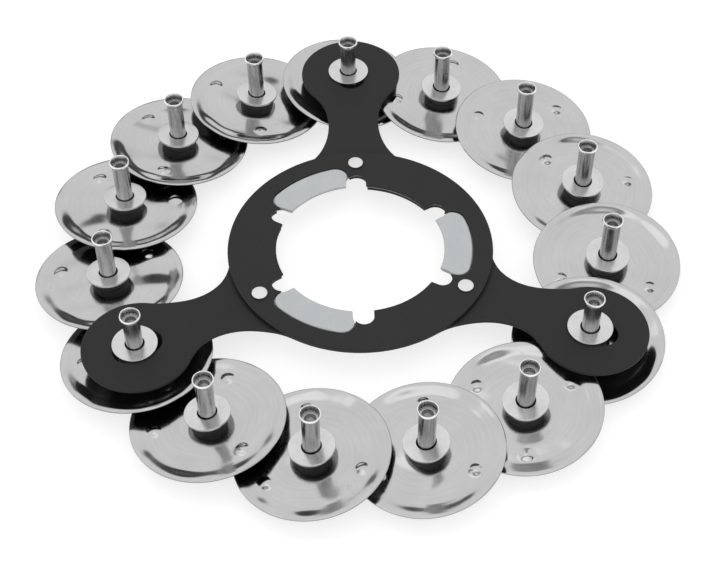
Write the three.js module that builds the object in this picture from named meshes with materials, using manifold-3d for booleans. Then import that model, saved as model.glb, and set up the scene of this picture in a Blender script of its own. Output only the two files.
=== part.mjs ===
// A jingle ring that lies on a cymbal. Sheet-metal jingles hang loose on a circle of upright
// tubular rivets, each lapping over the next, and a three-armed plate holds the circle around
// an opening that goes over the felt on a cymbal stand. Millimetres, +Z up. The origin is on
// the ring's axis, in the plane that the rivet heads stand on.
import * as THREE from "three";
import { mergeVertices } from "three/addons/utils/BufferGeometryUtils.js";
import Module from "manifold-3d";

const wasm = await Module();
wasm.setup();

// Driving dimensions: the ring of rivets
const jingleCount = 15;
const rivetCircleRadius = 59;
const rivetRadius = 1.95;
const rivetHeadRadius = 4;
const rivetHeadHeight = 1.4;
const rivetRimRadius = 2.4;
const rivetRimHeight = 1.1;
const rivetLip = 0.3;
const rivetWall = 0.2;
const rivetMouthDepth = 1.8;
const rivetStep = 0.47;
const rivetBoreDepth = 1.45;
const rivetStandOut = 11.75;
const carrierWidth = 15;
const carrierThickness = 1.2;

// Driving dimensions: a jingle with its bushing, and its washer
const jingleRadius = 17.35;
const jingleThickness = 0.5;
const jingleFlatRadius = 13.6;
const jingleRise = 0.6;
const jingleHoleClearance = 0.3;
const jingleTiltDegrees = 6.2;
const bumpCount = 3;
const bumpCircleRadius = 12;
const bumpRadius = 1.6;
const bumpHeight = 0.3;
const bushingRadius = 4.15;
const bushingHeight = 2.2;
const washerRadius = 5.15;
const washerThickness = 0.55;
const washerHoleClearance = 0.2;

// Driving dimensions: the centre plate with its grip and cover
const armCount = 3;
const armNeckWidth = 12.6;
const earRadius = 12.7;
const slotPlay = 0.7;
const slotTravel = 5;
const plateThickness = 0.7;
const plateDish = 3.05;
const plateShift = 0.7;
const plateShiftDegrees = -34;
const coverThickness = 0.6;
const hubSetback = 0.5;
const openingRadius = 20;
const coverBand = 11.5;
const lobeDepth = 6.8;
const lobeWidthDegrees = 50;
const lobeCornerRadius = 3;
const notchRadius = 2.3;
const notchCentreDepth = 1.6;
const notchesPerArm = 2;
const lobeStepsOn = 1 / 4;
const gripThickness = 0.3;
const gripSetback = 2.3;
const padSetback = 0.05;
const padGap = 0.2;
const coverRivetInset = 3.9;
const coverRivetRadius = 1.2;
const coverRivetHeadRadius = 1.85;
const coverRivetHeadHeight = 0.4;

// Driving dimensions: gaps
const seatGap = 0.3;
const plateSeatGap = 0.9;
const bendGap = 0.3;
const layerGap = 0.1;
const edgeGap = 0.3;
const holeClearance = 0.3;

// How far each jingle is turned on its rivet, in degrees, clockwise round the ring from arm 1
const jingleTurns = [54, 5, 115, 112, 86, 30, 80, 46, 76, 76, 95, 100, 85, 115, 40];

// Facets round a full circle
const ringFacets = 60;
const jingleFacets = 30;
const washerFacets = 18;
const rivetFacets = 12;
const holeFacets = 12;
const bumpFacets = 8;

// Steps along an arc
const hubSteps = 8;
const filletSteps = 8;
const earSteps = 20;
const roundEndSteps = 8;
const lobeSteps = 8;
const cornerSteps = 4;

// How far a cut runs past the faces it goes through, how close vertices are to be one, and how
// far an arm runs into the hub and the ear where it joins them
const cutOver = 1;
const weldDistance = 1e-5;
const bendLap = 0.05;

// Heights and angles that follow from the driving dimensions
const degree = Math.PI / 180;
const tilt = jingleTiltDegrees * degree;
const stationStep = (2 * Math.PI) / jingleCount;
const armStep = (2 * Math.PI) / armCount;
const firstAngle = Math.PI / 2;
const stationsPerArm = jingleCount / armCount;
const leaningRivetRadius = rivetRadius / Math.cos(tilt);
const washerHoleRadius = leaningRivetRadius + washerThickness * Math.tan(tilt) + washerHoleClearance;
const bushingTop = jingleThickness + bushingHeight;
const jingleHoleRadius = leaningRivetRadius + bushingTop * Math.tan(tilt) + jingleHoleClearance;
const carrierBottom = rivetHeadHeight + layerGap;
const carrierTop = carrierBottom + carrierThickness;
const lowFlatDepth = jingleFlatRadius * Math.sin(tilt);
const lowRimDepth = jingleRadius * Math.sin(tilt) - jingleRise * Math.cos(tilt);
const jingleBase = carrierTop + seatGap + Math.max(lowFlatDepth, lowRimDepth);
const highRimRise = jingleRadius * Math.sin(tilt) + (jingleThickness + jingleRise) * Math.cos(tilt);
const bushingRise = bushingRadius * Math.sin(tilt) + bushingTop * Math.cos(tilt);
const earBottom = jingleBase + Math.max(highRimRise, bushingRise) + plateSeatGap;
const earTop = earBottom + plateThickness;
const hubBottom = earBottom - plateDish;
const gripBottom = hubBottom + plateThickness + layerGap;
const coverBottom = gripBottom + gripThickness + layerGap;
const coverTop = coverBottom + coverThickness;
const looseWasherBottom = bushingTop + layerGap;
const looseWasherTop = jingleBase + looseWasherBottom + washerThickness;
const rivetTop = looseWasherTop + rivetStandOut;
const coverRadius = openingRadius + coverBand;
const hubRadius = coverRadius - hubSetback;
const gripRadius = coverRadius - gripSetback;
const coverRivetCircleRadius = coverRadius - coverRivetInset;
const lobeRadius = openingRadius + lobeDepth;
const notchCircleRadius = openingRadius + notchCentreDepth;
const slotHalfWidth = rivetRadius + plateShift + slotPlay;
const armBendRadius = coverRadius + bendGap;
const earBendRadius = rivetCircleRadius - earRadius;

// Finishes
const polishedSteel = { color: 0xc9cacc, roughness: 0.12, metalness: 1 };
const satinSteel = { color: 0xb4b5b6, roughness: 0.3, metalness: 1 };
const blackCoat = { color: 0x2a2a2b, roughness: 0.6, metalness: 0.1 };
const paleGrip = { color: 0xc3c6c8, roughness: 0.45, metalness: 0 };

// Joins the vertices of a geometry and drops the flat triangles left at a lathe's axis.
function closed(geometry) {
  geometry.deleteAttribute("normal");
  geometry.deleteAttribute("uv");
  const merged = mergeVertices(geometry, weldDistance);
  const corners = merged.index.array;
  const kept = [];
  for (let i = 0; i < corners.length; i += 3) {
    const [a, b, c] = corners.slice(i, i + 3);
    if (a !== b && b !== c && c !== a) kept.push(a, b, c);
  }
  merged.setIndex(kept);
  merged.computeVertexNormals();
  return merged;
}

// Turns a closed geometry into a solid that can be joined and cut.
function solid(geometry) {
  const body = closed(geometry);
  const vertProperties = new Float32Array(body.attributes.position.array);
  const triVerts = new Uint32Array(body.index.array);
  return new wasm.Manifold(new wasm.Mesh({ numProp: 3, vertProperties, triVerts }));
}

// Turns a solid back into a geometry.
function geometryOf(body) {
  const mesh = body.getMesh();
  const geometry = new THREE.BufferGeometry();
  geometry.setAttribute("position", new THREE.BufferAttribute(new Float32Array(mesh.vertProperties), 3));
  geometry.setIndex(new THREE.BufferAttribute(new Uint32Array(mesh.triVerts), 1));
  geometry.computeVertexNormals();
  return geometry;
}

function piece(name, geometry, finish) {
  const mesh = new THREE.Mesh(geometry, new THREE.MeshStandardMaterial(finish));
  mesh.name = name;
  return mesh;
}

function numbered(name, index) {
  return `${name}_${String(index + 1).padStart(2, "0")}`;
}

function polar(radius, angle) {
  return new THREE.Vector2(radius * Math.cos(angle), radius * Math.sin(angle));
}

// Points on an arc about a centre, both ends included.
function arc(centre, radius, start, end, steps) {
  const points = [];
  for (let i = 0; i <= steps; i += 1) {
    const angle = start + ((end - start) * i) / steps;
    points.push(polar(radius, angle).add(centre));
  }
  return points;
}

// Points round a full circle, the first not repeated.
function circle(centre, radius, facets) {
  const points = arc(centre, radius, 0, 2 * Math.PI, facets);
  points.pop();
  return points;
}

function turned(points, angle) {
  const axis = new THREE.Vector2();
  return points.map((point) => point.clone().rotateAround(axis, angle));
}

// Spins a profile of radius and height pairs round the Z axis.
function lathe(profile, facets) {
  const points = profile.map(([radius, height]) => new THREE.Vector2(radius, height));
  return new THREE.LatheGeometry(points, facets).rotateX(Math.PI / 2);
}

// A flat piece with an outline and holes, from one height to another.
function slab(outline, holes, bottom, top) {
  const shape = new THREE.Shape(outline);
  shape.holes = holes.map((points) => new THREE.Path(points));
  const geometry = new THREE.ExtrudeGeometry(shape, { depth: top - bottom, bevelEnabled: false });
  return geometry.translate(0, 0, bottom);
}

// A ring of rectangular section, given its two radii and two heights.
function flatRing(inner, outer, bottom, top, facets) {
  const section = [[inner, bottom], [outer, bottom], [outer, top], [inner, top], [inner, bottom]];
  return lathe(section, facets);
}

// A tubular rivet: a flat head below, a plain shank, and a flared rim round a stepped mouth.
// The mouth narrows like a funnel inside the rim, then steps in to a bore with a flat floor.
function rivetGeometry() {
  const rimBottom = rivetTop - rivetRimHeight;
  const rimMiddle = rivetTop - rivetRimHeight / 2;
  const mouthFloor = rivetTop - rivetMouthDepth;
  const boreFloor = mouthFloor - rivetBoreDepth;
  const mouthRadius = rivetRadius - rivetWall;
  const boreRadius = mouthRadius - rivetStep;
  const profile = [
    [0, 0],
    [rivetHeadRadius, 0],
    [rivetHeadRadius, rivetHeadHeight],
    [rivetRadius, rivetHeadHeight],
    [rivetRadius, rimBottom],
    [rivetRimRadius, rimMiddle],
    [rivetRimRadius - rivetLip / 2, rivetTop],
    [rivetRimRadius - rivetLip, rivetTop],
    [mouthRadius, rimBottom],
    [mouthRadius, mouthFloor],
    [boreRadius, mouthFloor],
    [boreRadius, boreFloor],
    [0, boreFloor],
  ];
  return closed(lathe(profile, rivetFacets));
}

// A jingle: a flat middle, a rim that slopes up, low round bumps, and a bushing fixed round its
// centre hole. Its height 0 is the underside of the flat middle.
function jingleGeometry() {
  const profile = [
    [jingleHoleRadius, 0],
    [jingleFlatRadius, 0],
    [jingleRadius, jingleRise],
    [jingleRadius, jingleThickness + jingleRise],
    [jingleFlatRadius, jingleThickness],
    [bushingRadius, jingleThickness],
    [bushingRadius, bushingTop],
    [jingleHoleRadius, bushingTop],
    [jingleHoleRadius, 0],
  ];
  let disc = solid(lathe(profile, jingleFacets));
  for (let i = 0; i < bumpCount; i += 1) {
    const place = polar(bumpCircleRadius, (2 * Math.PI * i) / bumpCount);
    const bump = new THREE.SphereGeometry(1, bumpFacets, bumpFacets / 2);
    bump.rotateX(Math.PI / 2).scale(bumpRadius, bumpRadius, bumpHeight);
    disc = disc.add(solid(bump.translate(place.x, place.y, jingleThickness)));
  }
  return geometryOf(disc);
}

function washerGeometry() {
  return closed(flatRing(washerHoleRadius, washerRadius, 0, washerThickness, washerFacets));
}

// The flat ring under the jingles, with a hole for each rivet.
function carrierGeometry() {
  const centre = new THREE.Vector2();
  const outline = circle(centre, rivetCircleRadius + carrierWidth / 2, ringFacets);
  const holes = [circle(centre, rivetCircleRadius - carrierWidth / 2, ringFacets)];
  for (let i = 0; i < jingleCount; i += 1) {
    const place = polar(rivetCircleRadius, firstAngle - i * stationStep);
    holes.push(circle(place, rivetRadius + holeClearance, holeFacets));
  }
  return closed(slab(outline, holes, carrierBottom, carrierTop));
}

// One arm's edge, along +X from the hub: a fillet, the round ear and the fillet on the far side.
// The fillet circle touches the hub and the ear and leaves the neck its width.
function armEdge() {
  const neck = armNeckWidth / 2;
  const reach = rivetCircleRadius;
  const lean = (hubRadius - earRadius) / reach;
  const middle = (reach * reach + hubRadius * hubRadius - earRadius * earRadius) / (2 * reach);
  const square = lean * lean;
  const linear = 2 * (middle * lean - hubRadius + neck);
  const constant = middle * middle - hubRadius * hubRadius + neck * neck;
  const fillet = (-linear - Math.sqrt(linear * linear - 4 * square * constant)) / (2 * square);
  const filletCentre = new THREE.Vector2(middle + lean * fillet, -(neck + fillet));
  const earCentre = new THREE.Vector2(reach, 0);
  const toHub = filletCentre.clone().negate().angle();
  const toEar = earCentre.clone().sub(filletCentre).angle();
  const earStart = filletCentre.clone().sub(earCentre).angle() - 2 * Math.PI;
  const near = arc(filletCentre, fillet, toHub, toEar, filletSteps);
  const far = near.map((point) => new THREE.Vector2(point.x, -point.y)).reverse();
  const round = arc(earCentre, earRadius, earStart, -earStart, earSteps).slice(1, -1);
  return [...near, ...round, ...far];
}

// An ear's slot: long along the arm, so the plate can shift on its rivets.
function slotOutline() {
  const outer = new THREE.Vector2(rivetCircleRadius + slotTravel / 2, 0);
  const inner = new THREE.Vector2(rivetCircleRadius - slotTravel / 2, 0);
  const quarter = Math.PI / 2;
  return [
    ...arc(outer, slotHalfWidth, -quarter, quarter, roundEndSteps),
    ...arc(inner, slotHalfWidth, quarter, 3 * quarter, roundEndSteps),
  ];
}

// A lobe's outline about the +X axis, from a given inner radius, with rounded outer corners.
function lobeOutline(inner, inset) {
  const outer = lobeRadius - inset;
  const half = (lobeWidthDegrees / 2) * degree - inset / lobeRadius;
  const corner = Math.min(lobeCornerRadius, (outer - inner) / 2);
  const turn = Math.asin(corner / (outer - corner));
  const quarter = Math.PI / 2;
  const middle = new THREE.Vector2();
  const lower = polar(outer - corner, turn - half);
  const upper = polar(outer - corner, half - turn);
  return [
    polar(inner, -half),
    ...arc(lower, corner, -half - quarter, turn - half, cornerSteps),
    ...arc(middle, outer, turn - half, half - turn, lobeSteps).slice(1, -1),
    ...arc(upper, corner, half - turn, half + quarter, cornerSteps),
    ...arc(middle, inner, half, -half, lobeSteps).slice(0, -1),
  ];
}

function lobeAngle(index) {
  return firstAngle + (index + lobeStepsOn) * armStep;
}

// The round-ended notches, as posts through a layer.
function notchPosts(bottom, top, growth) {
  const width = notchRadius + growth;
  const inner = openingRadius / 2;
  const quarter = Math.PI / 2;
  const round = arc(new THREE.Vector2(notchCircleRadius, 0), width, -quarter, quarter, roundEndSteps);
  const outline = [new THREE.Vector2(inner, -width), ...round, new THREE.Vector2(inner, width)];
  const posts = [];
  for (let i = 0; i < notchesPerArm * armCount; i += 1) {
    const angle = firstAngle + (i * armStep) / notchesPerArm;
    posts.push(solid(slab(turned(outline, angle), [], bottom, top)));
  }
  return posts;
}

// Cuts the shared opening through a layer: the round middle, the deep lobes and the notches.
function cutOpening(body, bottom, top, growth) {
  const centre = new THREE.Vector2();
  const below = bottom - cutOver;
  const above = top + cutOver;
  const middle = circle(centre, openingRadius + growth, ringFacets);
  let result = body.subtract(solid(slab(middle, [], below, above)));
  for (let i = 0; i < armCount; i += 1) {
    const outline = turned(lobeOutline(openingRadius / 2, -growth), lobeAngle(i));
    result = result.subtract(solid(slab(outline, [], below, above)));
  }
  for (const post of notchPosts(below, above, growth)) result = result.subtract(post);
  return result;
}

// The cover rivets' holes through a layer, as outlines.
function coverRivetHoles() {
  const holes = [];
  for (let i = 0; i < armCount; i += 1) {
    const place = polar(coverRivetCircleRadius, firstAngle + i * armStep);
    holes.push(circle(place, coverRivetRadius + holeClearance, holeFacets));
  }
  return holes;
}

// A block over one arm between two distances from the middle, for parting the flat plate.
function armBlock(index, start, end) {
  const half = earRadius + cutOver;
  const corners = [[start, -half], [end, -half], [end, half], [start, half]];
  const outline = corners.map(([x, y]) => new THREE.Vector2(x, y));
  const top = hubBottom + plateThickness + cutOver;
  return solid(slab(turned(outline, firstAngle + index * armStep), [], hubBottom - cutOver, top));
}

// The slope of one arm: it climbs by the dish between its two bends.
function armSlope(index) {
  const angle = firstAngle + index * armStep;
  const climb = plateDish / (earBendRadius - armBendRadius);
  const slope = new THREE.Matrix4();
  slope.elements[2] = climb * Math.cos(angle);
  slope.elements[6] = climb * Math.sin(angle);
  slope.elements[14] = -climb * armBendRadius;
  return slope;
}

// The centre plate: a low flat hub, arms that slope up from it, and flat raised ears.
function plateGeometry() {
  const outline = [];
  const holes = coverRivetHoles();
  const edge = armEdge();
  const edgeStart = edge[0].angle() - 2 * Math.PI;
  for (let i = 0; i < armCount; i += 1) {
    const angle = firstAngle + i * armStep;
    const hub = arc(new THREE.Vector2(), hubRadius, -edgeStart, armStep + edgeStart, hubSteps);
    outline.push(...turned([...edge, ...hub.slice(1, -1)], angle));
    holes.push(turned(slotOutline(), angle));
  }
  const flat = solid(slab(outline, holes, hubBottom, hubBottom + plateThickness));
  let body = cutOpening(flat, hubBottom, hubBottom + plateThickness, edgeGap);
  const tip = rivetCircleRadius + earRadius + cutOver;
  for (let i = 0; i < armCount; i += 1) body = body.subtract(armBlock(i, armBendRadius, tip));
  for (let i = 0; i < armCount; i += 1) {
    const arm = armBlock(i, armBendRadius - bendLap, earBendRadius + bendLap);
    const ramp = geometryOf(flat.intersect(arm));
    body = body.add(solid(ramp.applyMatrix4(armSlope(i))));
    const ear = geometryOf(flat.intersect(armBlock(i, earBendRadius, tip)));
    body = body.add(solid(ear.translate(0, 0, plateDish)));
  }
  return geometryOf(body);
}

function coverGeometry() {
  const outline = circle(new THREE.Vector2(), coverRadius, ringFacets);
  const body = solid(slab(outline, coverRivetHoles(), coverBottom, coverTop));
  return geometryOf(cutOpening(body, coverBottom, coverTop, 0));
}

// The grip: a thin ring between plate and cover, with a raised pad in each deep lobe.
function gripGeometry() {
  const centre = new THREE.Vector2();
  const inner = openingRadius + edgeGap;
  const top = gripBottom + gripThickness;
  const holes = [circle(centre, inner, ringFacets), ...coverRivetHoles()];
  let body = solid(slab(circle(centre, gripRadius, ringFacets), holes, gripBottom, top));
  for (let i = 0; i < armCount; i += 1) {
    const outline = turned(lobeOutline(openingRadius, padGap), lobeAngle(i));
    body = body.add(solid(slab(outline, [], gripBottom, coverTop - padSetback)));
  }
  const posts = notchPosts(gripBottom - cutOver, coverTop + cutOver, edgeGap);
  for (const post of posts) body = body.subtract(post);
  return geometryOf(body);
}

// A small rivet that clamps cover, grip and plate, headed at both ends.
function coverRivetGeometry() {
  const headBottom = coverTop + layerGap;
  const tailTop = hubBottom - layerGap;
  const profile = [
    [0, tailTop - coverRivetHeadHeight],
    [coverRivetHeadRadius, tailTop - coverRivetHeadHeight],
    [coverRivetHeadRadius, tailTop],
    [coverRivetRadius, tailTop],
    [coverRivetRadius, headBottom],
    [coverRivetHeadRadius, headBottom],
    [coverRivetHeadRadius, headBottom + coverRivetHeadHeight / 2],
    [coverRivetHeadRadius / 2, headBottom + coverRivetHeadHeight],
    [0, headBottom + coverRivetHeadHeight],
  ];
  return closed(lathe(profile, rivetFacets));
}

// One station: a rivet with its jingle and washer. The jingle's clockwise side is the low one.
// A loose washer leans with its jingle and is centred on the rivet.
function station(index) {
  const group = new THREE.Group();
  const angle = firstAngle - index * stationStep;
  const place = polar(rivetCircleRadius, angle);
  group.position.set(place.x, place.y, 0);
  group.rotation.z = angle;
  group.add(piece(numbered("rivet", index), rivetGeometry(), satinSteel));
  const leaning = new THREE.Group();
  leaning.position.z = jingleBase;
  leaning.rotation.x = tilt;
  const jingle = piece(numbered("jingle", index), jingleGeometry(), polishedSteel);
  jingle.rotation.z = jingleTurns[index % jingleTurns.length] * degree;
  leaning.add(jingle);
  const washer = piece(numbered("washer", index), washerGeometry(), satinSteel);
  const onEar = index % stationsPerArm === 0;
  if (onEar) {
    washer.position.z = earTop + layerGap;
    group.add(washer);
  } else {
    const middle = looseWasherBottom + washerThickness / 2;
    washer.position.set(0, middle * Math.tan(tilt), looseWasherBottom);
    leaning.add(washer);
  }
  group.add(leaning);
  return group;
}

// The plate with its grip, cover and cover rivets, shifted a little in its slots.
function centre() {
  const group = new THREE.Group();
  const shift = polar(plateShift, plateShiftDegrees * degree);
  group.position.set(shift.x, shift.y, 0);
  group.add(piece("centre_plate", plateGeometry(), blackCoat));
  group.add(piece("grip_ring", gripGeometry(), paleGrip));
  group.add(piece("cover_ring", coverGeometry(), blackCoat));
  for (let i = 0; i < armCount; i += 1) {
    const place = polar(coverRivetCircleRadius, firstAngle + i * armStep);
    const rivet = piece(`cover_rivet_${i + 1}`, coverRivetGeometry(), polishedSteel);
    rivet.position.set(place.x, place.y, 0);
    group.add(rivet);
  }
  return group;
}

const jingleRing = new THREE.Group();
jingleRing.add(piece("carrier_ring", carrierGeometry(), blackCoat));
for (let i = 0; i < jingleCount; i += 1) jingleRing.add(station(i));
jingleRing.add(centre());

export default jingleRing;
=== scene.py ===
"""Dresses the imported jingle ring: smooth visible pieces, finishes, studio light and camera.

Sizes are held in millimetres and turned into metres where a mesh is made. The frame is the
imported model's: +Z up, the origin on the ring's axis in the plane that the rivet heads stand on.
"""
import logging
import math
from collections.abc import Callable
from dataclasses import dataclass
from enum import Enum

import bpy
import numpy as np
from mathutils import Matrix, Vector
from mathutils.geometry import delaunay_2d_cdt


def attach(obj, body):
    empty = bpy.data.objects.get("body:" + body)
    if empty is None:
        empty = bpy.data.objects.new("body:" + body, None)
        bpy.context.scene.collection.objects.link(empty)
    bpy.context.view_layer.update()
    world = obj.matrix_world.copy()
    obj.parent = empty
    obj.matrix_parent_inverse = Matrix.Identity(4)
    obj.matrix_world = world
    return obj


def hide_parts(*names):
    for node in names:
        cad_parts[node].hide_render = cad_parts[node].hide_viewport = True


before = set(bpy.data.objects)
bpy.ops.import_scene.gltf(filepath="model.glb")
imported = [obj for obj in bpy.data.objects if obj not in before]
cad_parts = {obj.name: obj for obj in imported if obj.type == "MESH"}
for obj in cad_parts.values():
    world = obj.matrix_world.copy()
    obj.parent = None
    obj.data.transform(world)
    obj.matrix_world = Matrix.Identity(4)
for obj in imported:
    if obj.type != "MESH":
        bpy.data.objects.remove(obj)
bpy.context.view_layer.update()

log = logging.getLogger("jingle_ring")

MM = 0.001
TURN = 2 * math.pi
HALF_TURN_DEGREES = 180.0
IMAGE_WIDTH = 716
LOCAL = "local"
# Mesh attribute of the zone that takes a piece's painted light: painted shade on the jingles, a painted
# highlight on the rivets.
PAINTED_LIGHT_ZONE = "zone"

# Millimetres under which two points count as one, a radius as on the axis and a side as level, and
# the tolerance of the fill.
SAME_POINT = 1e-6
ON_AXIS = 1e-9
LEVEL_SIDE = 1e-12
FILL_TOLERANCE = 1e-7

# Points of a rounded edge. The holds are the insets, in edge sizes, of the points that keep a
# flat face evenly shaded beside its rounded edge.
ROUND_POINTS = 5
BAND_HOLD = 2.5
SHEET_HOLD = 3.0

# The largest inset of a band's edge as a share of its width, the least stretch at a corner and the
# least sine to divide by.
WIDEST_INSET = 0.45
LEAST_STRETCH = 0.5
LEAST_SINE = 1e-6

Pair = tuple[float, float]
Triple = tuple[float, float, float]
Colour = Triple
Material = bpy.types.Material
Node = bpy.types.Node
Socket = bpy.types.NodeSocket
Tree = bpy.types.NodeTree


class FinishKind(Enum):
    """The ways a surface is finished."""

    POLISHED = "polished"
    SATIN = "satin"
    COATED = "coated"
    FROSTED = "frosted"


@dataclass(frozen=True)
class Surface:
    """A mesh worked out as arrays: points in millimetres, faces, and points for patterns.

    Attributes:
        points: Corner positions in the ring's frame, one row each.
        faces: Corner numbers of each face.
        local: Corner positions in the piece's own frame, for patterns that follow the piece.
        zone: 1 at each corner that takes the piece's second colour, which is painted light (painted shade on
            a jingle, a painted highlight on a rivet), and 0 elsewhere, if it has one.
    """

    points: np.ndarray
    faces: list[list[int]]
    local: np.ndarray
    zone: np.ndarray | None = None


@dataclass(frozen=True)
class Place:
    """A turn and a shift that carry a piece from its own frame to the ring's."""

    turn: np.ndarray
    shift: np.ndarray

    def carry(self, points: np.ndarray) -> np.ndarray:
        """Returns the points turned and then shifted."""
        return points @ self.turn.T + self.shift


@dataclass(frozen=True)
class Rim:
    """Where an outline of a sheet meets the sheet's two faces.

    Attributes:
        low: Number of the outline's first corner on the lower face.
        high: Number of its first corner on the upper face.
        line: The outline there, in the plane.
    """

    low: int
    high: int
    line: np.ndarray

    @property
    def numbers(self) -> np.ndarray:
        """Numbers of the outline's corners, from 0."""
        return np.arange(len(self.line))


def turn_about_z(angle: float) -> np.ndarray:
    """Returns the matrix of a turn about the Z axis."""
    c, s = math.cos(angle), math.sin(angle)
    return np.array([[c, -s, 0.0], [s, c, 0.0], [0.0, 0.0, 1.0]])


def turn_about_x(angle: float) -> np.ndarray:
    """Returns the matrix of a turn about the X axis."""
    c, s = math.cos(angle), math.sin(angle)
    return np.array([[1.0, 0.0, 0.0], [0.0, c, -s], [0.0, s, c]])


def even_angles(count: int, clockwise: bool = False) -> np.ndarray:
    """Returns a number of even angles, up from 0 or, if clockwise, down from a whole turn."""
    start, end = (TURN, 0.0) if clockwise else (0.0, TURN)
    return np.linspace(start, end, count, endpoint=False)


def polar(radius: np.ndarray | float, angle: np.ndarray | float) -> np.ndarray:
    """Returns plane points from radii and angles: radius times cosine, radius times sine."""
    return np.stack([radius * np.cos(angle), radius * np.sin(angle)], axis=-1)


def round_points(radius: np.ndarray, angle: np.ndarray, height: np.ndarray) -> np.ndarray:
    """Points about the Z axis: radius times cosine, radius times sine, and the height.

    Args:
        radius: Radii, one row for each ring of points.
        angle: Angles, one column for each point of a ring.
        height: Heights, for each ring or for each point.

    Returns:
        The points of all rings, one row each.
    """
    across, along = radius * np.cos(angle), radius * np.sin(angle)
    level = np.broadcast_to(height, across.shape)
    return np.stack([across, along, level], axis=-1).reshape(-1, 3)


def arc(centre: Pair, radius: float, start: float, end: float, steps: int) -> np.ndarray:
    """Points on an arc: the centre plus the radius at even angles from start to end.

    Args:
        centre: Centre of the arc.
        radius: Radius of the arc.
        start: First angle in radians.
        end: Last angle in radians.
        steps: Number of spans.

    Returns:
        The points, both ends included.
    """
    return np.asarray(centre) + polar(radius, np.linspace(start, end, steps + 1))


def rounded(corners: list[Triple], steps: int, closed: bool) -> np.ndarray:
    """Rounds the corners of a section.

    Each corner is replaced by a curve that leaves one side at the rounding distance and meets the
    next side at the same distance: a quadratic blend of the two points and the corner itself.

    Args:
        corners: Radius, height and rounding distance of each corner.
        steps: Spans along each rounded corner.
        closed: Whether the section runs from its last corner back to its first.

    Returns:
        The points of the rounded section.
    """
    rows = np.asarray(corners, dtype=float)
    spot, reach = rows[:, :2], rows[:, 2]
    before = np.roll(spot, 1, axis=0) - spot
    after = np.roll(spot, -1, axis=0) - spot
    before /= np.linalg.norm(before, axis=1, keepdims=True)
    after /= np.linalg.norm(after, axis=1, keepdims=True)
    if not closed:
        reach[[0, -1]] = 0.0
    t = np.linspace(0.0, 1.0, steps + 1)[None, :, None]
    leave = (spot + before * reach[:, None])[:, None, :]
    meet = (spot + after * reach[:, None])[:, None, :]
    bend = (1 - t) ** 2 * leave + 2 * t * (1 - t) * spot[:, None, :] + t**2 * meet
    points = bend.reshape(-1, 2)
    step = np.linalg.norm(np.diff(points, axis=0), axis=1)
    return points[np.concatenate([[True], step > SAME_POINT])]


def ring_section(radii: Pair, heights: Pair, edge: float, steps: int) -> np.ndarray:
    """A rectangular section with rounded corners.

    Args:
        radii: Inner and outer radius.
        heights: Lower and upper height.
        edge: Rounding distance of each corner.
        steps: Spans along each rounded corner.

    Returns:
        The points of the section, counter-clockwise in radius and height.
    """
    inner, outer = radii
    bottom, top = heights
    corners = [(inner, bottom, edge), (outer, bottom, edge), (outer, top, edge), (inner, top, edge)]
    return rounded(corners, steps, closed=True)


def quarter_round(hold: float) -> tuple[np.ndarray, np.ndarray]:
    """A rounded edge of size 1 between a flat face and a wall.

    One less the sine is the inset from the wall and one less the cosine the lift from the face,
    for angles from 0 to a right angle. A point on the flat face comes first.

    Args:
        hold: Inset of that first point.

    Returns:
        The insets and the lifts.
    """
    bend = np.linspace(0.0, math.pi / 2, ROUND_POINTS)
    inset = np.concatenate([[hold], 1 - np.sin(bend)])
    lift = np.concatenate([[0.0], 1 - np.cos(bend)])
    return inset, lift


def grid_faces(rows: int, columns: int, rows_closed: bool) -> np.ndarray:
    """Four-cornered faces over a grid whose columns run round and close.

    Args:
        rows: Number of rows, numbered slowest.
        columns: Number of columns.
        rows_closed: Whether the last row joins the first.

    Returns:
        One row of four corner numbers for each face.
    """
    r = np.arange(rows if rows_closed else rows - 1)[:, None]
    c = np.arange(columns)[None, :]
    up, on = (r + 1) % rows, (c + 1) % columns
    faces = [r * columns + c, r * columns + on, up * columns + on, up * columns + c]
    return np.stack(faces, axis=-1).reshape(-1, 4)


def spun(section: np.ndarray, segments: int, place: Place, wave: np.ndarray | float = 0.0) -> Surface:
    """Spins a closed section round the Z axis.

    A point is its section radius, plus the wave, at each angle, with its section height. The
    section runs counter-clockwise in radius and height. One that starts and ends on the axis is
    closed there by single points.

    Args:
        section: Radius and height of each point.
        segments: Points round the circle.
        place: Where the piece goes.
        wave: Change of radius for each section point and angle.

    Returns:
        The closed surface.
    """
    solid = section[0, 0] < ON_AXIS
    body = section[1:-1] if solid else section
    grown = body[:, :1] + (wave[1:-1] if solid and np.ndim(wave) else wave)
    points = round_points(grown, even_angles(segments)[None, :], body[:, 1:2])
    faces = grid_faces(len(body), segments, not solid).tolist()
    if solid:
        tips = np.array([[0.0, 0.0, section[0, 1]], [0.0, 0.0, section[-1, 1]]])
        first, last = len(points), len(points) + 1
        column = np.arange(segments)
        on = (column + 1) % segments
        top = (len(body) - 1) * segments
        faces += np.stack([np.full(segments, first), on, column], axis=-1).tolist()
        faces += np.stack([np.full(segments, last), top + column, top + on], axis=-1).tolist()
        points = np.concatenate([points, tips])
    return Surface(place.carry(points), faces, points)


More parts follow.
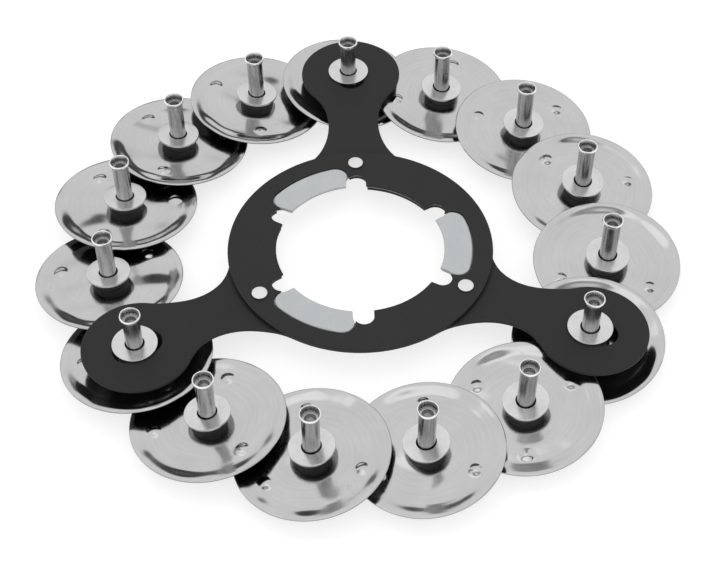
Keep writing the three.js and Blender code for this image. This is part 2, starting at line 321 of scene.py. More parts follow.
def band(angle: np.ndarray, inner: np.ndarray, outer: np.ndarray, heights: Pair, edge: float,
         place: Place, whole: bool) -> Surface:
    """Carries a rounded rectangular section round the axis between two radii that vary.

    At each angle the section is the same loop of corners, from the inner to the outer radius and
    from the lower to the upper height, with each corner cut by a quarter round of the edge size.

    Args:
        angle: Angles of the sections.
        inner: Inner radius at each angle.
        outer: Outer radius at each angle.
        heights: Lower and upper height.
        edge: Size of the rounded edges.
        place: Where the piece goes.
        whole: Whether the sections run right round. If not, both ends are capped.

    Returns:
        The closed surface.
    """
    bottom, top = heights
    across, lift = (row * edge for row in quarter_round(BAND_HOLD))
    side = np.concatenate([across, across[::-1], across, across[::-1]])
    level = np.concatenate([bottom + lift, top - lift[::-1], top - lift, bottom + lift[::-1]])
    half = len(side) // 2
    inset = np.minimum(side[:, None], WIDEST_INSET * (outer - inner)[None, :])
    radius = np.concatenate([outer[None, :] - inset[:half], inner[None, :] + inset[half:]])
    points = round_points(radius, angle, level[:, None])
    rows, columns = radius.shape
    every = grid_faces(rows, columns, True)
    if whole:
        faces = every.tolist()
    else:
        faces = every.reshape(rows, columns, 4)[:, :-1].reshape(-1, 4).tolist()
        start = np.arange(rows) * columns
        faces += [start.tolist(), (start + columns - 1)[::-1].tolist()]
    return Surface(place.carry(points), faces, points)


def inward(outline: np.ndarray, distance: float) -> np.ndarray:
    """Moves an outline to its left by a distance.

    Each point moves along the mean of its two side normals, lengthened so that the sides move by
    the distance.

    Args:
        outline: Points of the closed outline.
        distance: How far its sides move.

    Returns:
        The moved points.
    """
    ahead = np.roll(outline, -1, axis=0) - outline
    ahead /= np.linalg.norm(ahead, axis=1, keepdims=True)
    normal = np.stack([-ahead[:, 1], ahead[:, 0]], axis=-1)
    mean = normal + np.roll(normal, 1, axis=0)
    mean /= np.linalg.norm(mean, axis=1, keepdims=True)
    stretch = np.clip(np.sum(mean * normal, axis=1, keepdims=True), LEAST_STRETCH, 1.0)
    return outline + mean * distance / stretch


def inside(points: np.ndarray, outlines: list[np.ndarray]) -> np.ndarray:
    """Tells which points lie inside an odd number of outlines.

    A ray runs from each point along +X, and the sides that it crosses are counted.

    Args:
        points: The points to test.
        outlines: Closed outlines.

    Returns:
        True for each point that lies inside.
    """
    start = np.concatenate(outlines)
    end = np.concatenate([np.roll(outline, -1, axis=0) for outline in outlines])
    x, y = points[:, :1], points[:, 1:]
    straddles = (start[None, :, 1] > y) != (end[None, :, 1] > y)
    rise = end[:, 1] - start[:, 1]
    slope = (end[:, 0] - start[:, 0]) / np.where(np.abs(rise) < LEVEL_SIDE, LEVEL_SIDE, rise)
    crossing = start[None, :, 0] + (y - start[None, :, 1]) * slope[None, :]
    return np.sum(straddles & (crossing > x), axis=1) % 2 == 1


def even_spots(outlines: list[np.ndarray], spacing: float) -> np.ndarray:
    """Points of a square grid that lie inside the outlines, half a spacing clear of their corners.

    Args:
        outlines: Closed outlines.
        spacing: Distance between the grid's points.

    Returns:
        The points that are kept.
    """
    every = np.concatenate(outlines)
    low, high = every.min(axis=0), every.max(axis=0)
    across, along = (np.arange(low[axis], high[axis], spacing) for axis in (0, 1))
    spots = np.stack(np.meshgrid(across, along), axis=-1).reshape(-1, 2)
    spots = spots[inside(spots, outlines)]
    away = np.linalg.norm(spots[:, None] - every[None], axis=-1).min(axis=1)
    return spots[away > spacing / 2]


def filled(lines: list[np.ndarray], spots: np.ndarray) -> np.ndarray:
    """Fills closed outlines with triangles.

    A Delaunay net goes through the outlines' corners and the spots. A triangle is kept where its
    middle lies inside, and turned counter-clockwise.

    Args:
        lines: The outer outline and its holes.
        spots: Points inside.

    Returns:
        Three corner numbers a triangle, numbered along the outlines and then the spots.
    """
    flat = np.concatenate(lines + [spots])
    sides, first = [], 0
    for line in lines:
        number = np.arange(len(line))
        sides.append(first + np.stack([number, (number + 1) % len(line)], axis=-1))
        first += len(line)
    corners = [Vector(point) for point in flat.tolist()]
    net = delaunay_2d_cdt(corners, np.concatenate(sides).tolist(), [], 0, FILL_TOLERANCE, True)
    source = np.array([numbers[0] for numbers in net[3]])
    triangles = source[np.array(net[2])]
    kept = triangles[inside(flat[triangles].mean(axis=1), lines)]
    a, b, c = flat[kept[:, 0]], flat[kept[:, 1]], flat[kept[:, 2]]
    area = (b[:, 0] - a[:, 0]) * (c[:, 1] - a[:, 1]) - (b[:, 1] - a[:, 1]) * (c[:, 0] - a[:, 0])
    return np.where((area > 0)[:, None], kept, kept[:, ::-1])


def sheet(outlines: list[np.ndarray], edges: list[float], heights: Pair, place: Place,
          rise: Callable[[np.ndarray], np.ndarray], spacing: float) -> Surface:
    """A bent sheet with rounded edges, from an outline and its holes.

    Each outline is carried up a quarter round, a wall and a second quarter round, moved towards
    the material by the section's inset. The two faces are filled with triangles over an even grid,
    and every point is lifted by the rise at its place in the plane.

    Args:
        outlines: The outer outline counter-clockwise, then the holes clockwise.
        edges: Size of the rounded edge of each outline.
        heights: Lower and upper height where the sheet doesn't rise.
        place: Where the piece goes.
        rise: Height to add at points of the plane.
        spacing: Distance between the points inside the faces.

    Returns:
        The closed surface.
    """
    bottom, top = heights
    inset, lift = quarter_round(SHEET_HOLD)
    points, faces, rims, count = [], [], [], 0
    for outline, edge in zip(outlines, edges):
        across = np.concatenate([inset, inset[::-1]]) * edge
        level = np.concatenate([bottom + lift * edge, top - lift[::-1] * edge])
        rings = np.stack([inward(outline, distance) for distance in across])
        height = np.broadcast_to(level[:, None, None], rings.shape[:2] + (1,))
        points.append(np.concatenate([rings, height], axis=-1).reshape(-1, 3))
        faces.append(grid_faces(len(across), len(outline), False) + count)
        rims.append(Rim(count, count + (len(across) - 1) * len(outline), rings[0]))
        count += len(across) * len(outline)
    lines = [rim.line for rim in rims]
    spots = even_spots(lines, spacing)
    points += [np.column_stack([spots, np.full(len(spots), level)]) for level in heights]
    own = count + np.arange(len(spots))
    low = np.concatenate([rim.low + rim.numbers for rim in rims] + [own])
    high = np.concatenate([rim.high + rim.numbers for rim in rims] + [own + len(spots)])
    fill = filled(lines, spots)
    every = np.concatenate(faces).tolist() + high[fill].tolist() + low[fill[:, ::-1]].tolist()
    solid = np.concatenate(points)
    solid[:, 2] += rise(solid[:, :2])
    return Surface(place.carry(solid), every, solid)


def level_rise(spots: np.ndarray) -> np.ndarray:
    """Returns no rise at all, for a sheet that is flat."""
    return np.zeros(len(spots))


def piece(name: str, surface: Surface, material: Material, body: str, slot: str,
          *nodes: str) -> bpy.types.Object:
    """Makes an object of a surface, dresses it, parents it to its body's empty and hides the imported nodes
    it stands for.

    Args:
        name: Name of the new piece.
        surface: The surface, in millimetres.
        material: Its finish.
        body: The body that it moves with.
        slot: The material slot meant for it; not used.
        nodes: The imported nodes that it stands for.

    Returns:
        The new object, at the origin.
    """
    mesh = bpy.data.meshes.new(name)
    mesh.from_pydata((surface.points * MM).tolist(), [], surface.faces)
    mesh.polygons.foreach_set("use_smooth", np.ones(len(mesh.polygons), dtype=bool))
    pattern = mesh.attributes.new(LOCAL, "FLOAT_VECTOR", "POINT")
    pattern.data.foreach_set("vector", (surface.local * MM).astype(np.float32).ravel())
    # Mark the zone that takes painted light, if the piece has one.
    if surface.zone is not None:
        zone = mesh.attributes.new(PAINTED_LIGHT_ZONE, "FLOAT", "POINT")
        zone.data.foreach_set("value", surface.zone.astype(np.float32))
    mesh.materials.append(material)
    mesh.update()
    thing = bpy.data.objects.new(name, mesh)
    bpy.context.scene.collection.objects.link(thing)
    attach(thing, body)
    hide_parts(*nodes)
    log.info("%s: %d faces, on %s", name, len(mesh.polygons), body)
    return thing


def add_node(tree: Tree, kind: str, settings: dict[str, object],
             inputs: dict[str | int, object]) -> Node:
    """Adds a node, sets its properties and fills its inputs.

    Args:
        tree: The nodes to add to.
        kind: The node's type.
        settings: Its properties, which are set before its inputs are filled.
        inputs: For each input, by name or number, a socket to link or a value to set.

    Returns:
        The new node.
    """
    node = tree.nodes.new(kind)
    for name, value in settings.items():
        setattr(node, name, value)
    for key, value in inputs.items():
        if isinstance(value, Socket):
            tree.links.new(value, node.inputs[key])
        else:
            node.inputs[key].default_value = value
    return node


def add_math(tree: Tree, operation: str, *values: Socket | float) -> Socket:
    """Adds a Math node on sockets or numbers and returns its result."""
    return add_node(tree, "ShaderNodeMath", {"operation": operation}, dict(enumerate(values))).outputs[0]


def add_vector(tree: Tree, operation: str, *values: Socket | Triple) -> Node:
    """Adds a Vector Math node on sockets or vectors and returns it."""
    return add_node(tree, "ShaderNodeVectorMath", {"operation": operation}, dict(enumerate(values)))


@dataclass(frozen=True)
class Marks:
    """A node group of marks that pressing, polishing, plating or coating leaves.

    Attributes:
        name: Name of the group.
        arc_radius: Radius in metres of the circle that turned marks are drawn on.
        fine_detail: Layers of the fine noise.
        fine_roughness: How strongly each finer layer of it counts.
        broad_detail: Layers of the broad noise.
        broad_share: Share of the broad noise in the blend of both.
        spread: Levels of the blend at which the colour is fully dark and fully light.
        scuff_detail: Layers of the noise that scuffs are drawn from.
        scuff_bend: How far that noise is bent.
        scuff_middle: The value of that noise that a scuff follows.
        scuff_width: How far from its middle value the noise still counts as a scuff.
        scuff_patch: Levels of the broad noise between which scuffs come in.
        scuff_crowd: Scuff noise against broad noise.
        scuff_fade: How much of the light colour a scuff takes away.
    """

    name: str = "surface_marks"
    arc_radius: float = 0.0007
    fine_detail: float = 5.0
    fine_roughness: float = 0.6
    broad_detail: float = 3.0
    broad_share: float = 0.55
    spread: Pair = (0.32, 0.68)
    scuff_detail: float = 2.0
    scuff_bend: float = 1.6
    scuff_middle: float = 0.5
    scuff_width: float = 0.014
    scuff_patch: Pair = (0.5, 0.66)
    scuff_crowd: float = 2.2
    scuff_fade: float = 0.6

    def sockets(self, tree: Tree) -> None:
        """Makes the group's named inputs and outputs.

        Args:
            tree: The group's nodes.
        """
        face = tree.interface
        face.new_socket("Vector", in_out="INPUT", socket_type="NodeSocketVector")
        for label in ("Turned", "Fine", "Broad"):
            face.new_socket(label, in_out="INPUT", socket_type="NodeSocketFloat")
        for label in ("Dark", "Light"):
            face.new_socket(label, in_out="INPUT", socket_type="NodeSocketColor")
        face.new_socket("Colour", in_out="OUTPUT", socket_type="NodeSocketColor")
        for label in ("Mask", "Scuffs", "Height", "Swells"):
            face.new_socket(label, in_out="OUTPUT", socket_type="NodeSocketFloat")

    def turned_vector(self, tree: Tree, entry: Node) -> Socket:
        """Makes the fine noise's coordinates.

        They are the point itself, or, as far as Turned says, a point on a small circle at the
        point's angle, raised by its distance from the piece's axis, which draws the noise out
        into arcs about that axis.

        Args:
            tree: The group's nodes.
            entry: The group's input node.

        Returns:
            The socket that gives the coordinates.
        """
        point = entry.outputs["Vector"]
        level = add_vector(tree, "MULTIPLY", point, (1.0, 1.0, 0.0)).outputs["Vector"]
        away = add_vector(tree, "LENGTH", level).outputs["Value"]
        facing = add_vector(tree, "NORMALIZE", level).outputs["Vector"]
        small = add_node(tree, "ShaderNodeVectorMath", {"operation": "SCALE"},
                         {0: facing, "Scale": self.arc_radius})
        lift = add_node(tree, "ShaderNodeCombineXYZ", {}, {"Z": away})
        spot = add_vector(tree, "ADD", small.outputs["Vector"], lift.outputs["Vector"])
        choose = add_node(tree, "ShaderNodeMix", {"data_type": "VECTOR"}, {
            "Factor": entry.outputs["Turned"],
            "A": point,
            "B": spot.outputs["Vector"],
        })
        return choose.outputs["Result"]

    def scuffs(self, tree: Tree, entry: Node, where: Socket) -> Socket:
        """Makes the scuffs: thin lines where a noise passes its middle value, in patches.

        Args:
            tree: The group's nodes.
            entry: The group's input node.
            where: Broad noise that the patches follow.

        Returns:
            The socket that gives 1 on a scuff and 0 elsewhere.
        """
        noise = add_node(tree, "ShaderNodeTexNoise", {}, {
            "Vector": entry.outputs["Vector"],
            "Scale": add_math(tree, "MULTIPLY", entry.outputs["Broad"], self.scuff_crowd),
            "Detail": self.scuff_detail,
            "Distortion": self.scuff_bend,
        })
        past = add_math(tree, "SUBTRACT", noise.outputs["Fac"], self.scuff_middle)
        line = add_node(tree, "ShaderNodeMapRange", {}, {
            "Value": add_math(tree, "ABSOLUTE", past),
            "From Max": self.scuff_width,
            "To Min": 1.0,
            "To Max": 0.0,
        })
        patch = add_node(tree, "ShaderNodeMapRange", {}, {
            "Value": where,
            "From Min": self.scuff_patch[0],
            "From Max": self.scuff_patch[1],
        })
        return add_math(tree, "MULTIPLY", line.outputs["Result"], patch.outputs["Result"])

    def build(self) -> Tree:
        """Makes the group: fine and broad noise and scuffs, blended to a colour, masks and heights.

        Returns:
            The group, with the inputs Vector, Turned, Fine, Broad, Dark and Light, and the outputs
            Colour, Mask, Scuffs, Height and Swells.
        """
        tree = bpy.data.node_groups.new(self.name, "ShaderNodeTree")
        self.sockets(tree)
        entry = tree.nodes.new("NodeGroupInput")
        fine = add_node(tree, "ShaderNodeTexNoise", {}, {
            "Vector": self.turned_vector(tree, entry),
            "Scale": entry.outputs["Fine"],
            "Detail": self.fine_detail,
            "Roughness": self.fine_roughness,
        })
        even = {"Vector": entry.outputs["Vector"], "Scale": entry.outputs["Broad"]}
        broad = add_node(tree, "ShaderNodeTexNoise", {}, even | {"Detail": self.broad_detail})
        swells = add_node(tree, "ShaderNodeTexNoise", {}, even | {"Detail": 0.0})
        blend = add_node(tree, "ShaderNodeMix", {}, {
            "Factor": self.broad_share,
            "A": fine.outputs["Fac"],
            "B": broad.outputs["Fac"],
        })
        spread = add_node(tree, "ShaderNodeMapRange", {}, {
            "Value": blend.outputs["Result"],
            "From Min": self.spread[0],
            "From Max": self.spread[1],
        })
        worn = self.scuffs(tree, entry, broad.outputs["Fac"])
        left = add_node(tree, "ShaderNodeMath", {"operation": "SUBTRACT", "use_clamp": True}, {
            0: spread.outputs["Result"],
            1: add_math(tree, "MULTIPLY", worn, self.scuff_fade),
        })
        mix = add_node(tree, "ShaderNodeMix", {"data_type": "RGBA"}, {
            "Factor": left.outputs[0],
            "A": entry.outputs["Dark"],
            "B": entry.outputs["Light"],
        })
        add_node(tree, "NodeGroupOutput", {}, {
            "Colour": mix.outputs["Result"],
            "Mask": spread.outputs["Result"],
            "Scuffs": worn,
            "Height": fine.outputs["Fac"],
            "Swells": swells.outputs["Fac"],
        })
        return tree


@dataclass(frozen=True)
class Finish:
    """A procedural finish.

    Attributes:
        name: Name of the material.
        kind: How the surface is finished.
        dark: Colour in the low marks.
        light: Colour in the high marks.
        roughness: Roughness in the low and the high marks.
        metallic: Whether the surface is bare metal.
        fine: Marks per metre of the fine noise.
        broad: Marks per metre of the broad noise.
        height: Height of the marks in metres.
        turned: How far the fine marks run in arcs about the piece's axis.
        scuffed: Roughness that a scuff adds.
        stretch: How the pattern is scaled along the piece's own axes.
        second: Colour of the piece's second zone, if it has one. It is painted light, not a colour of the
            metal: painted shade on the jingles' undersides, a painted highlight on the rivets' rims.
        swell: Height in metres of the broad swells of an uneven sheet.
        coat_gloss: Specular level of a coat.
        frost_weight: Share of the light that goes into a frosted piece.
        frost_depth: How far in metres that light goes.
    """

    name: str
    kind: FinishKind
    dark: Colour
    light: Colour
    roughness: Pair
    metallic: float
    fine: float
    broad: float
    height: float
    turned: float = 0.0
    scuffed: float = 0.0
    stretch: Triple = (1.0, 1.0, 1.0)
    second: Colour | None = None
    swell: float = 0.0
    coat_gloss: float = 0.35
    frost_weight: float = 0.3
    frost_depth: float = 0.002

    def colour(self, tree: Tree, marks: Node) -> Socket:
        """Makes the colour: the marks' own, or the second one, which is painted light, in the piece's second
        zone.

        Args:
            tree: The material's nodes.
            marks: The node that holds the group of marks.

        Returns:
            The socket that gives the colour.
        """
        if self.second is None:
            return marks.outputs["Colour"]
        # The second colour is painted light: painted shade on the jingles, a painted highlight on the
        # rivets.
        side = add_node(tree, "ShaderNodeAttribute", {"attribute_name": PAINTED_LIGHT_ZONE}, {})
        pick = add_node(tree, "ShaderNodeMix", {"data_type": "RGBA"}, {
            "Factor": side.outputs["Fac"],
            "A": marks.outputs["Colour"],
            "B": (*self.second, 1.0),
        })
        return pick.outputs["Result"]

    def roughened(self, tree: Tree, marks: Node) -> Socket:
        """Makes the roughness: between its two values by the mask, plus what a scuff adds.

        Args:
            tree: The material's nodes.
            marks: The node that holds the group of marks.

        Returns:
            The socket that gives the roughness.
        """
        rough = add_node(tree, "ShaderNodeMapRange", {}, {
            "Value": marks.outputs["Mask"],
            "To Min": self.roughness[0],
            "To Max": self.roughness[1],
        })
        return add_math(tree, "MULTIPLY_ADD", marks.outputs["Scuffs"], self.scuffed, rough.outputs["Result"])

    def normal(self, tree: Tree, marks: Node) -> Socket:
        """Makes the normal: the fine marks' bump, over the broad swells if the sheet has them.

        Args:
            tree: The material's nodes.
            marks: The node that holds the group of marks.

        Returns:
            The socket that gives the normal.
        """
        inputs = {"Height": marks.outputs["Height"], "Distance": self.height}
        if self.swell:
            swells = {"Height": marks.outputs["Swells"], "Distance": self.swell}
            inputs["Normal"] = add_node(tree, "ShaderNodeBump", {}, swells).outputs["Normal"]
        return add_node(tree, "ShaderNodeBump", {}, inputs).outputs["Normal"]

    def material(self, marks: Tree) -> Material:
        """Makes the material from the shared group of marks.

        Args:
            marks: The group that Marks makes.

        Returns:
            The material.
        """
        made = bpy.data.materials.new(self.name)
        made.use_nodes = True
        tree = made.node_tree
        where = add_node(tree, "ShaderNodeAttribute", {"attribute_name": LOCAL}, {})
        fit = add_node(tree, "ShaderNodeMapping", {}, {
            "Vector": where.outputs["Vector"],
            "Scale": self.stretch,
        })
        group = add_node(tree, "ShaderNodeGroup", {"node_tree": marks}, {
            "Vector": fit.outputs["Vector"],
            "Turned": self.turned,
            "Fine": self.fine,
            "Broad": self.broad,
            "Dark": (*self.dark, 1.0),
            "Light": (*self.light, 1.0),
        })
        shader = tree.nodes["Principled BSDF"]
        shader.inputs["Metallic"].default_value = self.metallic
        tree.links.new(self.colour(tree, group), shader.inputs["Base Color"])
        tree.links.new(self.roughened(tree, group), shader.inputs["Roughness"])
        tree.links.new(self.normal(tree, group), shader.inputs["Normal"])
        if self.kind is FinishKind.COATED:
            shader.inputs["Specular IOR Level"].default_value = self.coat_gloss
        if self.kind is FinishKind.FROSTED:
            shader.inputs["Subsurface Weight"].default_value = self.frost_weight
            shader.inputs["Subsurface Radius"].default_value = (self.frost_depth,) * 3
        return made


def grey(level: float) -> Colour:
    """Returns the grey of a level."""
    return (level, level, level)


# The jingles' second colour, grey 0.05 on their undersides and lower edges, is painted shade: it stands in
# for the shade and dark reflections under the discs.
POLISHED_STEEL = Finish(
    "polished_steel", FinishKind.POLISHED, dark=grey(0.51), light=grey(0.58), roughness=(0.11, 0.18),
    metallic=1.0, fine=1700.0, broad=130.0, height=1.2e-6, turned=1.0, scuffed=0.12,
    second=grey(0.05), swell=9e-4)
SATIN_STEEL = Finish(
    "satin_steel", FinishKind.SATIN, dark=grey(0.60), light=grey(0.72), roughness=(0.18, 0.26),
    metallic=1.0, fine=3200.0, broad=300.0, height=5e-6, turned=1.0, scuffed=0.1)
# The rivets' second colour, grey 0.92 on the top of the rim, is a painted highlight.
DRAWN_STEEL = Finish(
    "drawn_steel", FinishKind.SATIN, dark=grey(0.34), light=grey(0.60), roughness=(0.2, 0.34),
    metallic=1.0, fine=2600.0, broad=700.0, height=2e-5, scuffed=0.1, stretch=(1.0, 1.0, 0.12),
    second=grey(0.92))
BRIGHT_STEEL = Finish(
    "bright_steel", FinishKind.SATIN, dark=grey(0.74), light=grey(0.86), roughness=(0.3, 0.4),
    metallic=1.0, fine=1800.0, broad=400.0, height=6e-6)
BLACK_COAT = Finish(
    "black_coat", FinishKind.COATED, dark=(0.012, 0.012, 0.0125), light=(0.021, 0.021, 0.022),
    roughness=(0.5, 0.64), metallic=0.0, fine=2600.0, broad=90.0, height=3e-5)
BLACK_COVER = Finish(
    "black_cover", FinishKind.COATED, dark=(0.013, 0.013, 0.0135), light=(0.023, 0.023, 0.024),
    roughness=(0.52, 0.66), metallic=0.0, fine=2200.0, broad=110.0, height=4e-5)
DARK_BUSHING = Finish(
    "dark_bushing", FinishKind.COATED, dark=grey(0.014), light=grey(0.028), roughness=(0.42, 0.55),
    metallic=0.0, fine=2400.0, broad=300.0, height=1e-5)
PALE_GRIP = Finish(
    "pale_grip", FinishKind.FROSTED, dark=(0.52, 0.54, 0.55), light=(0.58, 0.60, 0.61),
    roughness=(0.38, 0.5), metallic=0.0, fine=1200.0, broad=120.0, height=1e-5)


@dataclass(frozen=True)
class Plan:
    """Sizes and heights that several pieces share, in millimetres, and angles in radians."""

    jingle_count: int = 15
    arm_count: int = 3
    pitch_radius: float = 59.0
    tilt: float = math.radians(6.2)
    first_angle: float = math.pi / 2
    head_height: float = 1.4
    carrier_thickness: float = 1.2
    layer_gap: float = 0.1
    seat_gap: float = 0.3
    plate_seat_gap: float = 0.9
    plate_dish: float = 3.05
    plate_shift: float = 0.7
    plate_shift_angle: float = math.radians(-34.0)
    jingle_radius: float = 17.35
    jingle_flat_radius: float = 13.6
    jingle_rise: float = 0.6
    jingle_thickness: float = 0.5
    jingle_hole_radius: float = 2.55
    bushing_radius: float = 4.15
    bushing_height: float = 2.2
    washer_thickness: float = 0.55
    rivet_stand_out: float = 11.75
    plate_thickness: float = 0.7
    grip_thickness: float = 0.3
    cover_thickness: float = 0.6
    opening_radius: float = 20.0
    cover_radius: float = 31.5

    @property
    def carrier_bottom(self) -> float:
        """Underside of the carrier ring."""
        return self.head_height + self.layer_gap

    @property
    def jingle_base(self) -> float:
        """Underside of a jingle's flat middle, at its rivet."""
        low_flat = self.jingle_flat_radius * math.sin(self.tilt)
        low_rim = self.jingle_radius * math.sin(self.tilt) - self.jingle_rise * math.cos(self.tilt)
        return self.carrier_bottom + self.carrier_thickness + self.seat_gap + max(low_flat, low_rim)

    @property
    def bushing_top(self) -> float:
        """Top of a bushing above its jingle's underside."""
        return self.jingle_thickness + self.bushing_height

    @property
    def washer_base(self) -> float:
        """Underside of a loose washer above its jingle's underside."""
        return self.bushing_top + self.layer_gap

    @property
    def ear_bottom(self) -> float:
        """Underside of the centre plate's ears, clear of the highest rim and bushing."""
        rim_height = self.jingle_thickness + self.jingle_rise
        high_rim = self.jingle_radius * math.sin(self.tilt) + rim_height * math.cos(self.tilt)
        high_bushing = self.bushing_radius * math.sin(self.tilt) + self.bushing_top * math.cos(self.tilt)
        return self.jingle_base + max(high_rim, high_bushing) + self.plate_seat_gap

    @property
    def ear_top(self) -> float:
        """Top of the centre plate's ears."""
        return self.ear_bottom + self.plate_thickness

    @property
    def hub_bottom(self) -> float:
        """Underside of the centre plate's hub, which lies lower than the ears."""
        return self.ear_bottom - self.plate_dish

    @property
    def grip_bottom(self) -> float:
        """Underside of the grip ring."""
        return self.hub_bottom + self.plate_thickness + self.layer_gap

    @property
    def cover_bottom(self) -> float:
        """Underside of the cover ring."""
        return self.grip_bottom + self.grip_thickness + self.layer_gap

    @property
    def cover_top(self) -> float:
        """Top of the cover ring."""
        return self.cover_bottom + self.cover_thickness

    @property
    def rivet_top(self) -> float:
        """Top of a rivet's rim."""
        return self.jingle_base + self.washer_base + self.washer_thickness + self.rivet_stand_out

    @property
    def centre_place(self) -> Place:
        """Where the plate and what is on it lie."""
        shift = polar(self.plate_shift, self.plate_shift_angle)
        return Place(np.eye(3), np.array([shift[0], shift[1], 0.0]))

    def arm_angle(self, arm: int | np.ndarray) -> float | np.ndarray:
        """Returns the angle of an arm of the centre plate, or of each of several."""
        return self.first_angle + arm * TURN / self.arm_count

    def station(self, index: int) -> Place:
        """The upright frame of a rivet, its X axis pointing out from the ring.

        Args:
            index: Number of the rivet, from 0.

        Returns:
            The frame's place.
        """
        angle = self.first_angle - index * TURN / self.jingle_count
        spot = polar(self.pitch_radius, angle)
        return Place(turn_about_z(angle), np.array([spot[0], spot[1], 0.0]))

    def leaning(self, index: int, turn: float) -> Place:
        """The leaning frame of a jingle, turned on its rivet by an angle.

        Args:
            index: Number of the jingle, from 0.
            turn: The angle in radians.

        Returns:
            The frame's place.
        """
        upright = self.station(index)
        shift = upright.shift + np.array([0.0, 0.0, self.jingle_base])
        return Place(upright.turn @ turn_about_x(self.tilt) @ turn_about_z(turn), shift)


@dataclass
class Jingles:
    """The loose sheet-metal discs, each with a dark bushing round its hole."""

    plan: Plan
    # The width of the rim's climb to its level brim, and the bumps on their circle.
    rim_climb: float = 3.25
    bump_circle: float = 12.0
    bump_radius: float = 1.75
    bump_rise: float = 0.46
    bump_power: float = 1.3
    bump_count: int = 3
    # The faint waves that the press leaves: rings that sway round the disc, and flutes.
    ripple: float = 0.010
    ring_sweep: float = 9.0
    ring_level: float = 0.6
    ring_sway: float = 0.4
    ring_lobes: int = 2
    flute_count: int = 5
    # Rows of points: wide apart up to one radius, close together from the other.
    coarse_end: float = 9.6
    fine_start: float = 10.0
    coarse_rows: int = 8
    fine_rows: int = 42
    edge_points: int = 7
    # How far up an edge the painted shade of the underside goes, in half thicknesses, how far apart
    # the jingles take their patterns, and points round a disc.
    painted_shade_edge: float = 0.5
    pattern_step: float = 40.0
    segments: int = 168
    # The bushings.
    bushing_seat: float = 0.02
    bushing_edge: float = 0.12
    bushing_segments: int = 64
    # Degrees by which each jingle is turned on its rivet.
    turns: tuple[int, ...] = (54, 5, 115, 112, 86, 30, 80, 46, 76, 76, 95, 100, 85, 115, 40)

    def middle_height(self, radius: np.ndarray, angle: np.ndarray, seed: int) -> np.ndarray:
        """Height of the sheet's middle layer.

        A flat middle, then a rim that climbs in an S, three times the square less twice the cube of
        the share of the climb, to a level brim. Each bump adds a round cap: its rise times one less
        the square of the share of its radius, to a power that eases its foot. Two faint waves that
        the press leaves are added.

        Args:
            radius: Distance of each ring of points from the axis.
            angle: Angle of each point of a ring.
            seed: Number that sets where the faint waves lie.

        Returns:
            The height of each point.
        """
        plan = self.plan
        climb = np.clip((radius - plan.jingle_flat_radius) / self.rim_climb, 0.0, 1.0)
        height = 0.5 * plan.jingle_thickness + plan.jingle_rise * climb**2 * (3 - 2 * climb)
        for index in range(self.bump_count):
            spot = polar(self.bump_circle, TURN * index / self.bump_count)
            away = np.hypot(radius * np.cos(angle) - spot[0], radius * np.sin(angle) - spot[1])
            near = np.clip(away / self.bump_radius, 0.0, 1.0)
            height = height + self.bump_rise * (1 - near**2) ** self.bump_power
        phase = np.random.default_rng(seed).uniform(0.0, TURN, 3)
        share = radius / plan.jingle_radius
        sway = self.ring_level + self.ring_sway * np.sin(self.ring_lobes * angle + phase[1])
        rings = np.sin(self.ring_sweep * share + phase[0]) * sway
        flutes = share**2 * np.sin(self.flute_count * angle + phase[2])
        return height + self.ripple * (rings + flutes)

    def surface(self, index: int) -> Surface:
        """The closed sheet of one jingle.

        A loop runs out along the top, round the rim, back along the underside and round the hole.
        Each point takes the middle layer's height at its radius and angle plus its own offset.
        Each jingle's pattern is taken at a height of its own, so that no two are alike.

        Args:
            index: Number of the jingle, from 0.

        Returns:
            The surface, with its underside and the lower part of its edges as its second zone, which takes
            painted shade.
        """
        plan = self.plan
        half = 0.5 * plan.jingle_thickness
        top = np.concatenate([
            np.linspace(plan.jingle_hole_radius + half, self.coarse_end, self.coarse_rows),
            np.linspace(self.fine_start, plan.jingle_radius - half, self.fine_rows),
        ])
        under = top[::-2]
        bend = np.linspace(math.pi / 2, -math.pi / 2, self.edge_points)[1:-1]
        rim = plan.jingle_radius - half + half * np.cos(bend)
        hole = plan.jingle_hole_radius + half - half * np.cos(bend)
        radius = np.concatenate([top, rim, under, hole])[:, None]
        offset = np.concatenate([
            np.full(len(top), half), half * np.sin(bend), np.full(len(under), -half), -half * np.sin(bend),
        ])
        angle = even_angles(self.segments)[None, :]
        height = self.middle_height(radius, angle, index) + offset[:, None]
        points = round_points(radius, angle, height)
        faces = grid_faces(len(radius), self.segments, True)[:, ::-1].tolist()
        place = plan.leaning(index, math.radians(self.turns[index]))
        # Painted shade: the underside and the lower part of the edges take the dark second colour.
        lower = np.repeat(offset < self.painted_shade_edge * half, self.segments)
        pattern = points + np.array([0.0, 0.0, self.pattern_step * index])
        return Surface(place.carry(points), faces, pattern, lower)

    def bushing(self, index: int) -> Surface:
        """One bushing: a rounded rectangular section spun round the jingle's hole.

        Args:
            index: Number of the jingle, from 0.

        Returns:
            The surface.
        """
        plan = self.plan
        radii = (plan.jingle_hole_radius, plan.bushing_radius)
        heights = (plan.jingle_thickness + self.bushing_seat, plan.bushing_top)
        section = ring_section(radii, heights, self.bushing_edge, steps=4)
        return spun(section, self.bushing_segments, plan.leaning(index, 0.0))

    def build(self, steel: Material, dark: Material) -> None:
        """Makes every jingle and its bushing and dresses them.

        Args:
            steel: Finish of the discs.
            dark: Finish of the bushings.
        """
        for index in range(self.plan.jingle_count):
            node = f"jingle_{index + 1:02d}"
            piece(f"{node}_disc", self.surface(index), steel, node, "jingle_steel", node)
            piece(f"{node}_bushing", self.bushing(index), dark, node, "carrier_coat", node)


